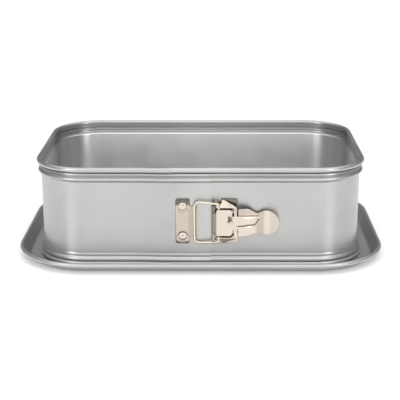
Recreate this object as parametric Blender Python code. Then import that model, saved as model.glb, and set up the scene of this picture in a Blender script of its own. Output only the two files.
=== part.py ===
"""Rectangular springform pan: a rimmed base tray, a sprung sheet-metal band that stands on it,
and an over-centre wire latch that pulls the two overlapping ends of the band together.

Metres, +Z up.  The origin is the middle of the underside of the tray, the latch faces -Y.
"Offset" is the distance outwards from the outer face of the band's straight wall.
"""
import math

import bmesh
import bpy
from mathutils import Matrix, Vector

MM = 0.001

# Band: outer face of the wall, seen from above, is a rounded rectangle.
HALF_WIDTH = 140 * MM
HALF_DEPTH = 90 * MM
CORNER_RADIUS = 42 * MM
BAND_SHEET = 0.5 * MM
GAP = 0.3 * MM                 # clearance between pieces that touch on the real object
BAND_FOOT_Z = 1.1 * MM
FOOT_CURL_RADIUS = 1.8 * MM
LOWER_BEAD_Z = 7.0 * MM
LOWER_BEAD_RISE = 2.1 * MM
UPPER_BEAD_Z = 78.6 * MM
UPPER_BEAD_RISE = 2.7 * MM
BEAD_HALF_HEIGHT = 2.9 * MM
LOWER_STEP_Z = 10.9 * MM       # narrow beads that lie against the two wide ones
LOWER_STEP_RISE = 0.6 * MM
UPPER_STEP_Z = 82.5 * MM
UPPER_STEP_RISE = 1.6 * MM
STEP_HALF_HEIGHT = 1.5 * MM
RIM_CURL_Z = 86.4 * MM
RIM_CURL_RADIUS = 2.2 * MM
CURL_TURN = 290                # degrees of roll in the rim and foot curls
CORNER_STEPS = 6               # facets in each half of a corner
HALF_CUT = math.degrees(GAP / 2 / (CORNER_RADIUS - BAND_SHEET / 2))

# Overlap of the band's two ends at the front: the outer end steps out over the inner end, and
# its rim and foot curls are cut away there, so that the inner end's curls run on to meet them.
INNER_END_X = -24.5 * MM
JOGGLE_X = INNER_END_X - GAP
JOGGLE_LENGTH = 30 * MM
OUTER_END_X = 9.5 * MM
JOGGLE_RISE = 1.25 * MM
OUTER_END_TOP_Z = 83.8 * MM
OUTER_END_FOOT_Z = 5.2 * MM

# Base tray.
TRAY_SHEET = 0.8 * MM
PLATFORM_TOP_Z = 9.8 * MM
PLATFORM_CLEARANCE = 0.5 * MM
TRAY_FLOOR_OFFSET = 13 * MM
TRAY_RIM_OFFSET = 20.1 * MM
TRAY_RIM_Z = 8.0 * MM
TRAY_RIM_RADIUS = 2.0 * MM
PLATFORM_BEND = 1.2 * MM
PLATFORM_MARGIN = 8 * MM       # flat ring modelled between the bend and the middle face

# Latch: X along the front wall, "stand" outwards from it (towards -Y), heights from LATCH_Z.
LATCH_Z = 41.4 * MM
PLATE_HALF_HEIGHT = 19.8 * MM
LATCH_SHEET = 0.8 * MM
HINGE_X = 11.8 * MM
HINGE_STAND = 6.6 * MM
KNUCKLE_RADIUS = 1.6 * MM
PIN_RADIUS = 0.7 * MM
LEVER_KNUCKLE_HALF = 8.8 * MM
BRACKET_KNUCKLE_END = 15.2 * MM
BAIL_PIVOT_X = 16.2 * MM
BAIL_PIVOT_STAND = 5.8 * MM
BAIL_HOOK_X = -4.4 * MM
BAIL_HOOK_STAND = 3.9 * MM
WIRE_RADIUS = 1 * MM
BAIL_HALF_AT_HOOK = 18.3 * MM
BAIL_HALF_AT_PIVOT = 17 * MM
BAIL_END_HALF = 12.8 * MM
BAIL_CORNER = 4 * MM
CATCH_LEFT = -21.1 * MM
CATCH_FACE_RIGHT = -7 * MM
CATCH_STAND = JOGGLE_RISE + GAP
CATCH_LIP_HALF = 13 * MM
CATCH_LIP_TOP = 4.1 * MM
CATCH_LIP_GAP = 0.8 * MM       # free play beside the wire, so that the open linkage clears
BRACKET_LEFT = 10.4 * MM
BRACKET_RIGHT = 32.7 * MM
RIVET_SHANK = 1.5 * MM
RIVET_HEAD = 3.1 * MM
RIVET_HEAD_RISE = 1.3 * MM
RIVET_FOOT_RISE = 0.7 * MM     # flat inner head of the bracket's rivets
CATCH_RIVET_X = -14.5 * MM
CATCH_RIVET_HALF = 13.4 * MM
BRACKET_RIVET_X = 22 * MM
BRACKET_RIVET_HALF = 7 * MM
LEVER_FACE_STAND = 7.2 * MM
TONGUE_LEFT = HINGE_X + 2 * MM
TONGUE_HALF = 11.6 * MM
SPINE_HALF = 5.2 * MM          # half height of the strip that joins tongue, arms and handle
ARM_LEFT = 29.3 * MM           # the two arms, between the slots beside tongue and handle
ARM_RIGHT = 31.6 * MM
TONGUE_RIGHT = 27.7 * MM
HANDLE_LEFT = 32.7 * MM
WING_FOLD_HALF = 13.4 * MM
WING_FOLD_ANGLE = 50           # degrees that each wing is folded back towards the wall
WING_DEPTH = 6.6 * MM
EAR_DEPTH = 3.2 * MM
RIB_RANGE = (30 * MM, 50 * MM)
RIB_HALF = 2.4 * MM
RIB_RISE = 0.8 * MM
TAB_X = 57.8 * MM
TAB_RADIUS = 10.2 * MM


def clear_scene():
    for item in list(bpy.data.objects):
        bpy.data.objects.remove(item, do_unlink=True)


def material(name, colour, roughness, metallic=1.0):
    made = bpy.data.materials.new(name)
    made.use_nodes = True
    shader = made.node_tree.nodes["Principled BSDF"]
    shader.inputs["Base Color"].default_value = (*colour, 1)
    shader.inputs["Roughness"].default_value = roughness
    shader.inputs["Metallic"].default_value = metallic
    return made


def add_object(name, mesh_data, surface=None, smooth=True):
    """Make a closed mesh an object, with its faces pointing out."""
    bmesh.ops.recalc_face_normals(mesh_data, faces=mesh_data.faces)
    mesh = bpy.data.meshes.new(name)
    mesh_data.to_mesh(mesh)
    mesh_data.free()
    if smooth:
        mesh.shade_smooth()
        mesh.set_sharp_from_angle(angle=math.radians(35))
    made = bpy.data.objects.new(name, mesh)
    bpy.context.collection.objects.link(made)
    if surface is not None:
        mesh.materials.append(surface)
    return made


def make_guide(item):
    item.hide_render = True
    item.display_type = "WIRE"


def boolean(item, operation, others):
    for other in others:
        make_guide(other)
        step = item.modifiers.new(operation.lower(), "BOOLEAN")
        step.operation = operation
        step.solver = "EXACT"
        step.object = other


def set_origin(item, point):
    """Move an object's origin to a world point and leave its shape where it is."""
    item.data.transform(Matrix.Translation(-Vector(point)))
    item.location = point


def latch_point(x, stand, height):
    return Vector((x, -HALF_DEPTH - stand, LATCH_Z + height))


# --- sheet profiles -------------------------------------------------------------------------

def arc(centre, radius, start, end, steps):
    """Points on an arc in the (offset, height) plane, from start to end degrees."""
    points = []
    for step in range(steps + 1):
        angle = math.radians(start + (end - start) * step / steps)
        points.append((centre[0] + radius * math.cos(angle), centre[1] + radius * math.sin(angle)))
    return points


def wall_bump(z):
    """How far the wall is pressed out at a height, as a sum of smooth beads."""
    bump = 0
    for middle, half, rise in (
            (LOWER_BEAD_Z, BEAD_HALF_HEIGHT, LOWER_BEAD_RISE),
            (LOWER_STEP_Z, STEP_HALF_HEIGHT, LOWER_STEP_RISE),
            (UPPER_BEAD_Z, BEAD_HALF_HEIGHT, UPPER_BEAD_RISE),
            (UPPER_STEP_Z, STEP_HALF_HEIGHT, UPPER_STEP_RISE)):
        part = min(abs(z - middle) / half, 1)
        bump += rise * 0.5 * (1 + math.cos(math.pi * part))
    return bump


def pressed_wall(wall, low, high, steps=11):
    points = []
    for step in range(steps + 1):
        z = low + (high - low) * step / steps
        points.append((wall + wall_bump(z), z))
    return points


def band_profile():
    """Middle line of the band's sheet, from the end of the foot curl to the end of the rim curl."""
    wall = -BAND_SHEET / 2
    foot = FOOT_CURL_RADIUS - BAND_SHEET / 2
    rim = RIM_CURL_RADIUS - BAND_SHEET / 2
    line = arc((wall + foot, BAND_FOOT_Z + FOOT_CURL_RADIUS), foot, 180 + CURL_TURN, 180, 8)
    line += pressed_wall(
        wall, LOWER_BEAD_Z - BEAD_HALF_HEIGHT, LOWER_STEP_Z + STEP_HALF_HEIGHT)
    line += pressed_wall(
        wall, UPPER_BEAD_Z - BEAD_HALF_HEIGHT, UPPER_STEP_Z + STEP_HALF_HEIGHT)
    line += arc((wall + rim, RIM_CURL_Z), rim, 180, 180 - CURL_TURN, 9)
    return line


def tray_profile():
    """Middle line of the tray's sheet, from the edge of the platform out to the rim."""
    half = TRAY_SHEET / 2
    top = PLATFORM_TOP_Z - half
    edge = -BAND_SHEET - PLATFORM_CLEARANCE - half
    bend = PLATFORM_BEND
    line = [(edge - PLATFORM_MARGIN, top)]
    line += arc((edge - bend, top - bend), bend, 90, 0, 3)
    line += arc((edge + bend, half + bend), bend, 180, 270, 3)
    line.append((TRAY_FLOOR_OFFSET, half))
    rim = TRAY_RIM_RADIUS - half
    line += arc((TRAY_RIM_OFFSET, TRAY_RIM_Z), rim, 160, -90, 8)
    return line


def two_faces(line, thickness):
    """The two faces of a sheet, either side of its middle line."""
    left, right = [], []
    last = len(line) - 1
    for index, (x, y) in enumerate(line):
        before = line[max(index - 1, 0)]
        after = line[min(index + 1, last)]
        dx, dy = after[0] - before[0], after[1] - before[1]
        length = math.hypot(dx, dy)
        nx, ny = -dy / length * thickness / 2, dx / length * thickness / 2
        left.append((x + nx, y + ny))
        right.append((x - nx, y - ny))
    return left, right


def corner_station(corner_x, corner_y, degrees):
    """A place on a corner of the band: point on the wall's outer face, and outward direction."""
    angle = math.radians(degrees)
    out = Vector((math.cos(angle), math.sin(angle)))
    centre = Vector((corner_x * (HALF_WIDTH - CORNER_RADIUS), corner_y * (HALF_DEPTH - CORNER_RADIUS)))
    return centre + out * CORNER_RADIUS, out


def corner_stations(corner_x, corner_y, start, end, steps):
    stations = []
    for step in range(steps + 1):
        stations.append(corner_station(corner_x, corner_y, start + (end - start) * step / steps))
    return stations


def sweep(stations, faces, closed=False, lift=None):
    """Carry a sheet's two faces along a row of stations."""
    left, right = faces
    mesh = bmesh.new()
    rings = []
    for index, (point, out) in enumerate(stations):
        extra = lift(point) if lift else 0
        ring = []
        for offset, z in left + right[::-1]:
            place = point + out * (offset + extra)
            ring.append(mesh.verts.new((place.x, place.y, z)))
        rings.append(ring)
    count = len(rings[0])
    pairs = list(zip(rings, rings[1:]))
    if closed:
        pairs.append((rings[-1], rings[0]))
    for first, second in pairs:
        for index in range(count):
            after = (index + 1) % count
            if closed and index == count - 1:
                continue
            mesh.faces.new((first[index], first[after], second[after], second[index]))
    if closed:
        mesh.faces.new([ring[0] for ring in rings])
        mesh.faces.new([ring[-1] for ring in rings])
    else:
        for ring in (rings[0], rings[-1]):
            for index in range(len(left) - 1):
                far = count - 1 - index
                mesh.faces.new((ring[index], ring[index + 1], ring[far - 1], ring[far]))
    return mesh


# --- simple solids --------------------------------------------------------------------------

def plate(name, outline, origin, across, up, out, thickness):
    """A flat plate: an outline in its own plane, given thickness along out."""
    mesh = bmesh.new()
    back = [mesh.verts.new(origin + across * x + up * y) for x, y in outline]
    front = [mesh.verts.new(origin + across * x + up * y + out * thickness) for x, y in outline]
    mesh.faces.new(back)
    mesh.faces.new(front)
    for index in range(len(outline)):
        after = (index + 1) % len(outline)
        mesh.faces.new((back[index], back[after], front[after], front[index]))
    return add_object(name, mesh, smooth=False)


def wall_plate(name, outline, stand, thickness):
    """A plate parallel to the front wall, from stand outwards; outline is (x, height)."""
    across, up, out = Vector((1, 0, 0)), Vector((0, 0, 1)), Vector((0, -1, 0))
    return plate(name, outline, latch_point(0, stand, 0), across, up, out, thickness)


def block(name, x_range, stand_range, height_range):
    outline = [
        (x_range[0], height_range[0]), (x_range[1], height_range[0]),
        (x_range[1], height_range[1]), (x_range[0], height_range[1]),
    ]
    return wall_plate(name, outline, stand_range[0], stand_range[1] - stand_range[0])


def upright_cylinder(name, x, stand, radius, height_range, sides=20):
    mesh = bmesh.new()
    bmesh.ops.create_cone(
        mesh, cap_ends=True, segments=sides, radius1=radius, radius2=radius,
        depth=height_range[1] - height_range[0])
    middle = latch_point(x, stand, (height_range[0] + height_range[1]) / 2)
    bmesh.ops.translate(mesh, verts=mesh.verts, vec=middle)
    return add_object(name, mesh)


def turned_rivet(name, x, height, foot_stand, seat_stand, surface, foot_head=0.0):
    """A round-headed rivet through the wall; foot_head is the radius of its flat inner head."""
    profile = []
    if foot_head:
        profile += [(0, -RIVET_FOOT_RISE), (foot_head, -RIVET_FOOT_RISE), (foot_head, 0)]
        profile.append((RIVET_SHANK, 0))
    else:
        profile += [(0, 0), (RIVET_SHANK, 0)]
    seat = seat_stand - foot_stand
    profile.append((RIVET_SHANK, seat))
    for step in range(6):
        angle = math.radians(90 * step / 5)
        profile.append((RIVET_HEAD * math.cos(angle), seat + RIVET_HEAD_RISE * math.sin(angle)))
    mesh = bmesh.new()
    rows = [mesh.verts.new((radius, 0, rise)) for radius, rise in profile[:-1]]
    rows.append(mesh.verts.new((0, 0, profile[-1][1])))
    edges = [mesh.edges.new(pair) for pair in zip(rows, rows[1:])]
    bmesh.ops.spin(
        mesh, geom=rows + edges, cent=(0, 0, 0), axis=(0, 0, 1), angle=math.tau, steps=20,
        use_merge=True)
    bmesh.ops.remove_doubles(mesh, verts=mesh.verts, dist=1e-6)
    made = add_object(name, mesh, surface)
    made.location = latch_point(x, foot_stand, height)
    made.rotation_euler = (math.radians(90), 0, 0)
    return made


def rounded_path(points, radii, steps=6):
    """A wire's centre line: straight runs between points, with each bend rounded to its radius."""
    path = [points[0]]
    for before, corner, after, radius in zip(points, points[1:], points[2:], radii):
        inward = (before - corner).normalized()
        onward = (after - corner).normalized()
        half = inward.angle(onward) / 2
        reach = radius / math.tan(half)
        centre = corner + (inward + onward).normalized() * (radius / math.sin(half))
        first = (corner + inward * reach - centre).normalized()
        last = (corner + onward * reach - centre).normalized()
        for step in range(steps + 1):
            path.append(centre + first.slerp(last, step / steps) * radius)
    path.append(points[-1])
    return path


# --- band -----------------------------------------------------------------------------------

def joggle(point):
    """How far the outer end of the band steps out, to lie over the inner end."""
    part = (point.x - (JOGGLE_X - JOGGLE_LENGTH)) / JOGGLE_LENGTH
    return JOGGLE_RISE * min(max(part, 0), 1)


def front_stations(side, end_x, stops=()):
    """Stations from the middle of a front corner along the front wall to end_x."""
    down = Vector((0, -1))
    start = 270 + side * 45
    stations = corner_stations(side, -1, start - side * HALF_CUT, 270, CORNER_STEPS)
    for x in (*stops, end_x):
        stations.append((Vector((x, -HALF_DEPTH)), down))
    return stations


def build_band(surface):
    """The springy band, in five stretches that meet in the middle of each corner."""
    faces = two_faces(band_profile(), BAND_SHEET)
    back = corner_stations(1, 1, 45 + HALF_CUT, 90, CORNER_STEPS)
    back += corner_stations(-1, 1, 90, 135 - HALF_CUT, CORNER_STEPS)
    right = corner_stations(1, -1, -45 + HALF_CUT, 0, CORNER_STEPS)
    right += corner_stations(1, 1, 0, 45 - HALF_CUT, CORNER_STEPS)
    left = corner_stations(-1, 1, 135 + HALF_CUT, 180, CORNER_STEPS)
    left += corner_stations(-1, -1, 180, 225 - HALF_CUT, CORNER_STEPS)
    front_right = front_stations(1, INNER_END_X)
    front_left = front_stations(-1, OUTER_END_X, (JOGGLE_X - JOGGLE_LENGTH, JOGGLE_X))
    pieces = {
        "band_back": add_object("band_back", sweep(back, faces), surface),
        "band_side_right": add_object("band_side_right", sweep(right, faces), surface),
        "band_side_left": add_object("band_side_left", sweep(left, faces), surface),
        "band_front_right": add_object("band_front_right", sweep(front_right, faces), surface),
        "band_front_left": add_object("band_front_left", sweep(front_left, faces, lift=joggle), surface),
    }
    trim_outer_end(pieces["band_front_left"])
    for side, name in ((1, "right"), (-1, "left")):
        set_origin(pieces[f"band_side_{name}"], corner_axis(side, 1))
        set_origin(pieces[f"band_front_{name}"], corner_axis(side, -1))
    return pieces


def trim_outer_end(item):
    """Cut the rim and foot curls off the outer end where it lies over the inner end."""
    x_range = (JOGGLE_X, OUTER_END_X + 5 * MM)
    reach = 10 * MM
    rim = block(
        "rim_cutter", x_range, (-reach, reach),
        (OUTER_END_TOP_Z - LATCH_Z, OUTER_END_TOP_Z + reach - LATCH_Z))
    foot = block(
        "foot_cutter", x_range, (-reach, reach),
        (OUTER_END_FOOT_Z - reach - LATCH_Z, OUTER_END_FOOT_Z - LATCH_Z))
    boolean(item, "DIFFERENCE", (rim, foot))


def corner_axis(side_x, side_y):
    """Where the middle of a corner flexes, in the thickness of the sheet."""
    reach = (CORNER_RADIUS - BAND_SHEET / 2) * math.sqrt(0.5)
    x = side_x * (HALF_WIDTH - CORNER_RADIUS + reach)
    y = side_y * (HALF_DEPTH - CORNER_RADIUS + reach)
    return Vector((x, y, 0))


def drill(item, x, heights, stand_range):
    """Round holes for rivets, through whatever lies in stand_range."""
    cutters = []
    for index, height in enumerate(heights):
        mesh = bmesh.new()
        bmesh.ops.create_cone(
            mesh, cap_ends=True, segments=20, radius1=RIVET_SHANK + GAP,
            radius2=RIVET_SHANK + GAP, depth=stand_range[1] - stand_range[0])
        cutter = add_object(f"{item.name}_drill_{index}", mesh)
        cutter.rotation_euler = (math.radians(90), 0, 0)
        cutter.location = latch_point(x, sum(stand_range) / 2, height)
        cutters.append(cutter)
    boolean(item, "DIFFERENCE", cutters)


# --- tray -----------------------------------------------------------------------------------

def build_tray(surface):
    stations = []
    for corner_x, corner_y, start in ((1, 1, 0), (-1, 1, 90), (-1, -1, 180), (1, -1, 270)):
        stations += corner_stations(corner_x, corner_y, start, start + 90, 2 * CORNER_STEPS)
    faces = two_faces(tray_profile(), TRAY_SHEET)
    mesh = sweep(stations, faces, closed=True)
    return add_object("base_tray", mesh, surface)


# --- latch ----------------------------------------------------------------------------------

def build_catch(surface):
    """Plate riveted to the outer end of the band, with an upturned lip that holds the wire."""
    half = PLATE_HALF_HEIGHT
    lip_left = BAIL_HOOK_X + WIRE_RADIUS + CATCH_LIP_GAP
    face_top = CATCH_STAND + LATCH_SHEET
    plate_item = block(
        "catch_plate", (CATCH_LEFT, CATCH_FACE_RIGHT), (CATCH_STAND, face_top), (-half, half))
    plate_item.data.materials.append(surface)
    shelf = block(
        "catch_shelf", (CATCH_FACE_RIGHT - LATCH_SHEET, lip_left + LATCH_SHEET),
        (CATCH_STAND, face_top), (-CATCH_LIP_HALF, CATCH_LIP_HALF))
    lip = block(
        "catch_lip", (lip_left, lip_left + LATCH_SHEET), (CATCH_STAND, CATCH_LIP_TOP),
        (-CATCH_LIP_HALF, CATCH_LIP_HALF))
    boolean(plate_item, "UNION", (shelf, lip))
    return plate_item


def build_bracket(surface):
    """Plate riveted to the inner end of the band, with two rolled knuckles for the lever."""
    half = PLATE_HALF_HEIGHT
    item = block("hinge_bracket", (BRACKET_LEFT, BRACKET_RIGHT), (GAP, GAP + LATCH_SHEET), (-half, half))
    item.data.materials.append(surface)
    low = LEVER_KNUCKLE_HALF + 2 * GAP
    high = BRACKET_KNUCKLE_END
    for name, ends in (("upper", (low, high)), ("lower", (-high, -low))):
        web = block(
            f"bracket_web_{name}", (HINGE_X - KNUCKLE_RADIUS, HINGE_X - PIN_RADIUS - GAP),
            (GAP, HINGE_STAND), ends)
        roll = upright_cylinder(f"bracket_roll_{name}", HINGE_X, HINGE_STAND, KNUCKLE_RADIUS, ends)
        boolean(item, "UNION", (web, roll))
    reach = BRACKET_KNUCKLE_END + MM
    bore = upright_cylinder(
        "bracket_bore", HINGE_X, HINGE_STAND, PIN_RADIUS + GAP, (-reach, reach))
    boolean(item, "DIFFERENCE", (bore,))
    return item


def handle_outline():
    """Half outline of the handle, from the slot to the thumb tab, as (x, half height)."""
    points = [(HANDLE_LEFT, SPINE_HALF), (HANDLE_LEFT, 11.2 * MM), (34 * MM, 12 * MM)]
    points += [(41 * MM, 11.8 * MM), (48 * MM, 8.7 * MM)]
    for step in range(9):
        angle = math.radians(125 - 125 * step / 8)
        points.append((TAB_X + TAB_RADIUS * math.cos(angle), TAB_RADIUS * math.sin(angle)))
    return points


def lever_outline():
    """Flat blank of the lever: tongue, centre strip, two arms and handle."""
    upper = [
        (TONGUE_LEFT, TONGUE_HALF), (TONGUE_RIGHT, TONGUE_HALF), (TONGUE_RIGHT, SPINE_HALF),
        (ARM_LEFT, SPINE_HALF), (ARM_LEFT, WING_FOLD_HALF), (ARM_RIGHT, WING_FOLD_HALF),
        (ARM_RIGHT, SPINE_HALF),
    ] + handle_outline()
    neck = [(HINGE_X + 1.3 * MM, LEVER_KNUCKLE_HALF), (TONGUE_LEFT, LEVER_KNUCKLE_HALF)]
    half = neck + upper
    mirrored = [(x, -height) for x, height in half if height > 0]
    return half + mirrored[::-1]


def build_wing(name, side):
    """A tapering wing folded back from the blank, with an ear that carries the wire's end."""
    turn = math.radians(WING_FOLD_ANGLE)
    up = Vector((0, math.sin(turn), side * math.cos(turn)))
    out = Vector((0, -math.cos(turn), side * math.sin(turn)))
    origin = latch_point(0, LEVER_FACE_STAND - LATCH_SHEET, side * (WING_FOLD_HALF - 0.4 * MM))
    ear_left = BAIL_PIVOT_X - 2.2 * MM
    ear_right = BAIL_PIVOT_X + 2.6 * MM
    outline = [
        (ear_left, 0), (ARM_RIGHT, 0), (ARM_RIGHT - 0.6 * MM, 1.2 * MM), (20.5 * MM, WING_DEPTH),
        (ear_right, WING_DEPTH), (ear_right, EAR_DEPTH), (ear_left, EAR_DEPTH),
    ]
    return plate(name, outline, origin, Vector((1, 0, 0)), up, out, LATCH_SHEET)


def build_lever(surface):
    item = wall_plate("latch_lever", lever_outline(), LEVER_FACE_STAND - LATCH_SHEET, LATCH_SHEET)
    item.data.materials.append(surface)
    knuckle_ends = (-LEVER_KNUCKLE_HALF, LEVER_KNUCKLE_HALF)
    roll = upright_cylinder("lever_roll", HINGE_X, HINGE_STAND, KNUCKLE_RADIUS, knuckle_ends)
    rib = block(
        "lever_rib", RIB_RANGE, (LEVER_FACE_STAND - LATCH_SHEET / 2, LEVER_FACE_STAND + RIB_RISE),
        (-RIB_HALF, RIB_HALF))
    boolean(item, "UNION", (build_wing("wing_upper", 1), build_wing("wing_lower", -1), roll, rib))
    reach = LEVER_KNUCKLE_HALF + MM
    bore = upright_cylinder("lever_bore", HINGE_X, HINGE_STAND, PIN_RADIUS + GAP, (-reach, reach))
    ears = upright_cylinder(
        "ear_bore", BAIL_PIVOT_X, BAIL_PIVOT_STAND, WIRE_RADIUS + GAP,
        (-PLATE_HALF_HEIGHT, PLATE_HALF_HEIGHT))
    boolean(item, "DIFFERENCE", (bore, ears))
    set_origin(item, latch_point(HINGE_X, HINGE_STAND, 0))
    return item


def build_bail(surface):
    """The wire loop: two turned-in ends, two side runs and the cross run behind the lip."""
    ends = []
    for side in (1, -1):
        ends.append([
            latch_point(BAIL_PIVOT_X, BAIL_PIVOT_STAND, side * BAIL_END_HALF),
            latch_point(BAIL_PIVOT_X, BAIL_PIVOT_STAND, side * BAIL_HALF_AT_PIVOT),
            latch_point(BAIL_HOOK_X, BAIL_HOOK_STAND, side * BAIL_HALF_AT_HOOK),
        ])
    points = ends[0] + ends[1][::-1]
    path = rounded_path(points, (1.5 * MM, BAIL_CORNER, BAIL_CORNER, 1.5 * MM))
    curve = bpy.data.curves.new("wire_bail", "CURVE")
    curve.dimensions = "3D"
    curve.bevel_depth = WIRE_RADIUS
    curve.bevel_resolution = 3
    curve.use_fill_caps = True
    spline = curve.splines.new("POLY")
    spline.points.add(len(path) - 1)
    pivot = latch_point(BAIL_PIVOT_X, BAIL_PIVOT_STAND, 0)
    for knot, point in zip(spline.points, path):
        knot.co = (*(point - pivot), 1)
    item = bpy.data.objects.new("wire_bail", curve)
    item.location = pivot
    curve.materials.append(surface)
    bpy.context.collection.objects.link(item)
    return item


def build_pin(surface):
    half = BRACKET_KNUCKLE_END
    pin = upright_cylinder("hinge_pin", HINGE_X, HINGE_STAND, PIN_RADIUS, (-half, half), 16)
    pin.data.materials.append(surface)
    return pin


def build_rivets(surface):
    catch_seat = CATCH_STAND + LATCH_SHEET + GAP
    bracket_seat = GAP + LATCH_SHEET + GAP
    inside = -BAND_SHEET - GAP
    rivets = []
    for side, word in ((1, "upper"), (-1, "lower")):
        rivets.append(turned_rivet(
            f"catch_rivet_{word}", CATCH_RIVET_X, side * CATCH_RIVET_HALF,
            JOGGLE_RISE - BAND_SHEET, catch_seat, surface))
        rivets.append(turned_rivet(
            f"bracket_rivet_{word}", BRACKET_RIVET_X, side * BRACKET_RIVET_HALF,
            inside, bracket_seat, surface, foot_head=RIVET_HEAD))
    return rivets


def main():
    clear_scene()
    band_steel = material("band_steel", (0.62, 0.63, 0.64), 0.38)
    tray_steel = material("tray_steel", (0.60, 0.61, 0.62), 0.40)
    nickel = material("latch_nickel", (0.78, 0.73, 0.66), 0.24)
    wire = material("bail_wire", (0.80, 0.78, 0.72), 0.18)
    build_tray(tray_steel)
    band = build_band(band_steel)
    catch_heights = (CATCH_RIVET_HALF, -CATCH_RIVET_HALF)
    bracket_heights = (BRACKET_RIVET_HALF, -BRACKET_RIVET_HALF)
    drill(band["band_front_left"], CATCH_RIVET_X, catch_heights, (GAP / 2, 3 * MM))
    drill(band["band_front_right"], BRACKET_RIVET_X, bracket_heights, (-2 * MM, 2 * MM))
    drill(build_catch(nickel), CATCH_RIVET_X, catch_heights, (0, 4 * MM))
    drill(build_bracket(nickel), BRACKET_RIVET_X, bracket_heights, (-MM, 3 * MM))
    build_lever(nickel)
    build_bail(wire)
    build_pin(nickel)
    build_rivets(nickel)


main()
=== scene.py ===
"""Rectangular springform pan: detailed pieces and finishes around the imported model, with a pale
floor, soft studio light and a camera.

Metres, +Z up, latch towards -Y.  "Stand" is the distance outwards from the front wall's outer
face, "height" is measured from the latch's middle, and "offset" is the distance outwards from
the band's straight wall.  The latch's outlines and reliefs are worked out in millimetres.
"""
import math

import bmesh
import bpy
import numpy as np
from mathutils import Matrix, Vector


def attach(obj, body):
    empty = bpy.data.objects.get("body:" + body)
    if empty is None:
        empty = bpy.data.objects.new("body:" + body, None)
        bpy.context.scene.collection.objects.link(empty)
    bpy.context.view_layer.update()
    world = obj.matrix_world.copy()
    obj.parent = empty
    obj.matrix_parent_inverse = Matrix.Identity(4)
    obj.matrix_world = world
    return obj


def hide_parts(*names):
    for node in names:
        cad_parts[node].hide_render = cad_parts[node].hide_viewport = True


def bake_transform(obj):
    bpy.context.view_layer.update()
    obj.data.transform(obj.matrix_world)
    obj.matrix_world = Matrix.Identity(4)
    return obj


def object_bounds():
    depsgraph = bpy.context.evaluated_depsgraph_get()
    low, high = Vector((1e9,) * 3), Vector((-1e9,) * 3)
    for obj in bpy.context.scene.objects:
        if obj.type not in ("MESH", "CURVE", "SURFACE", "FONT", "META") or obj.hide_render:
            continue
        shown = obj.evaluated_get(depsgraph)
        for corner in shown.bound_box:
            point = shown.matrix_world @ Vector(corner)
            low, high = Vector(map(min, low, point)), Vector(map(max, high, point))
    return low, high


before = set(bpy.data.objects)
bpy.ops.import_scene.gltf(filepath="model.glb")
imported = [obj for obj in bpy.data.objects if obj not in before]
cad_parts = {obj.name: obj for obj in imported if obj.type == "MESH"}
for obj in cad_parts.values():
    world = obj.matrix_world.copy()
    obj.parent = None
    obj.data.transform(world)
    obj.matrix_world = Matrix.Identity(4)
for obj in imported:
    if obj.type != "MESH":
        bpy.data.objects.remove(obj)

MM = 0.001
CAD_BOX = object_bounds()
SHARP_ANGLE = 38               # degrees between faces, from which an edge is shaded sharp
STAMPED_SHARP_ANGLE = 55
ROUNDING_STEPS = 8             # steps in each rounded corner of an outline
ROUNDING_SHARE = 0.49          # share of a straight run that the rounding of one corner may take

# Band.
HALF_WIDTH = 140 * MM
HALF_DEPTH = 90 * MM
CORNER_RADIUS = 42 * MM
BAND_SHEET = 0.5 * MM
BAND_FOOT_Z = 1.1 * MM
FOOT_CURL_RADIUS = 1.8 * MM
LOWER_BEAD_Z = 6.6 * MM
LOWER_BEAD_RISE = 2.1 * MM
UPPER_BEAD_Z = 77.9 * MM
UPPER_BEAD_RISE = 2.7 * MM
BEAD_HALF_HEIGHT = 3.1 * MM
UPPER_STEP_Z = 82.3 * MM       # narrow beads that lie against the two wide ones
UPPER_STEP_RISE = 2.1 * MM
LOWER_STEP_Z = 10.3 * MM
LOWER_STEP_RISE = 0.6 * MM
STEP_HALF_HEIGHT = 2.1 * MM
RIM_CURL_Z = 86.4 * MM
RIM_CURL_RADIUS = 2.2 * MM
CURL_TURN = 290
BEAD_STEPS = 26
CORNER_STEPS = 28
INNER_END_X = -24.5 * MM
JOGGLE_X = -24.8 * MM
JOGGLE_LENGTH = 30 * MM
JOGGLE_RISE = 1.25 * MM
JOGGLE_STEPS = 8
OUTER_END_X = 9.5 * MM
OUTER_END_TOP_Z = 83.6 * MM
OUTER_END_FOOT_Z = 5.2 * MM

# Base tray.
TRAY_SHEET = 0.8 * MM
PLATFORM_TOP_Z = 9.8 * MM
PLATFORM_EDGE = -1.4 * MM
PLATFORM_BEND = 1.2 * MM
PLATFORM_RING = 8 * MM         # the sweep starts this far in from the platform's edge
FLARE_OFFSET = 11 * MM
FLARE_RADIUS = 4 * MM
TRAY_RIM_OFFSET = 20.1 * MM
TRAY_RIM_Z = 7.5 * MM
TRAY_RIM_RADIUS = 1.8 * MM

# Latch.
LATCH_Z = 41.4 * MM
LATCH_SHEET = 0.8 * MM
SHEET_EDGE = 0.16 * MM         # rounding of a stamped sheet's cut edge
WIRE_RADIUS = 1.1 * MM
WIRE_PLAY = 0.25 * MM
WIRE_END_BEND = 1.6 * MM
WIRE_LOOP_BEND = 4 * MM
WIRE_BEND_STEPS = 10
RIVET_HEAD = 3.5 * MM          # radius
RIVET_SHANK = 1.5 * MM         # radius
RIVET_FOOT = 0.8 * MM          # stand of the shank's end
RIVET_SEAT = 2.65 * MM         # stand of the head's underside
RIVET_DOME = 1.35 * MM
RIVET_STEPS = 12

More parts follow.
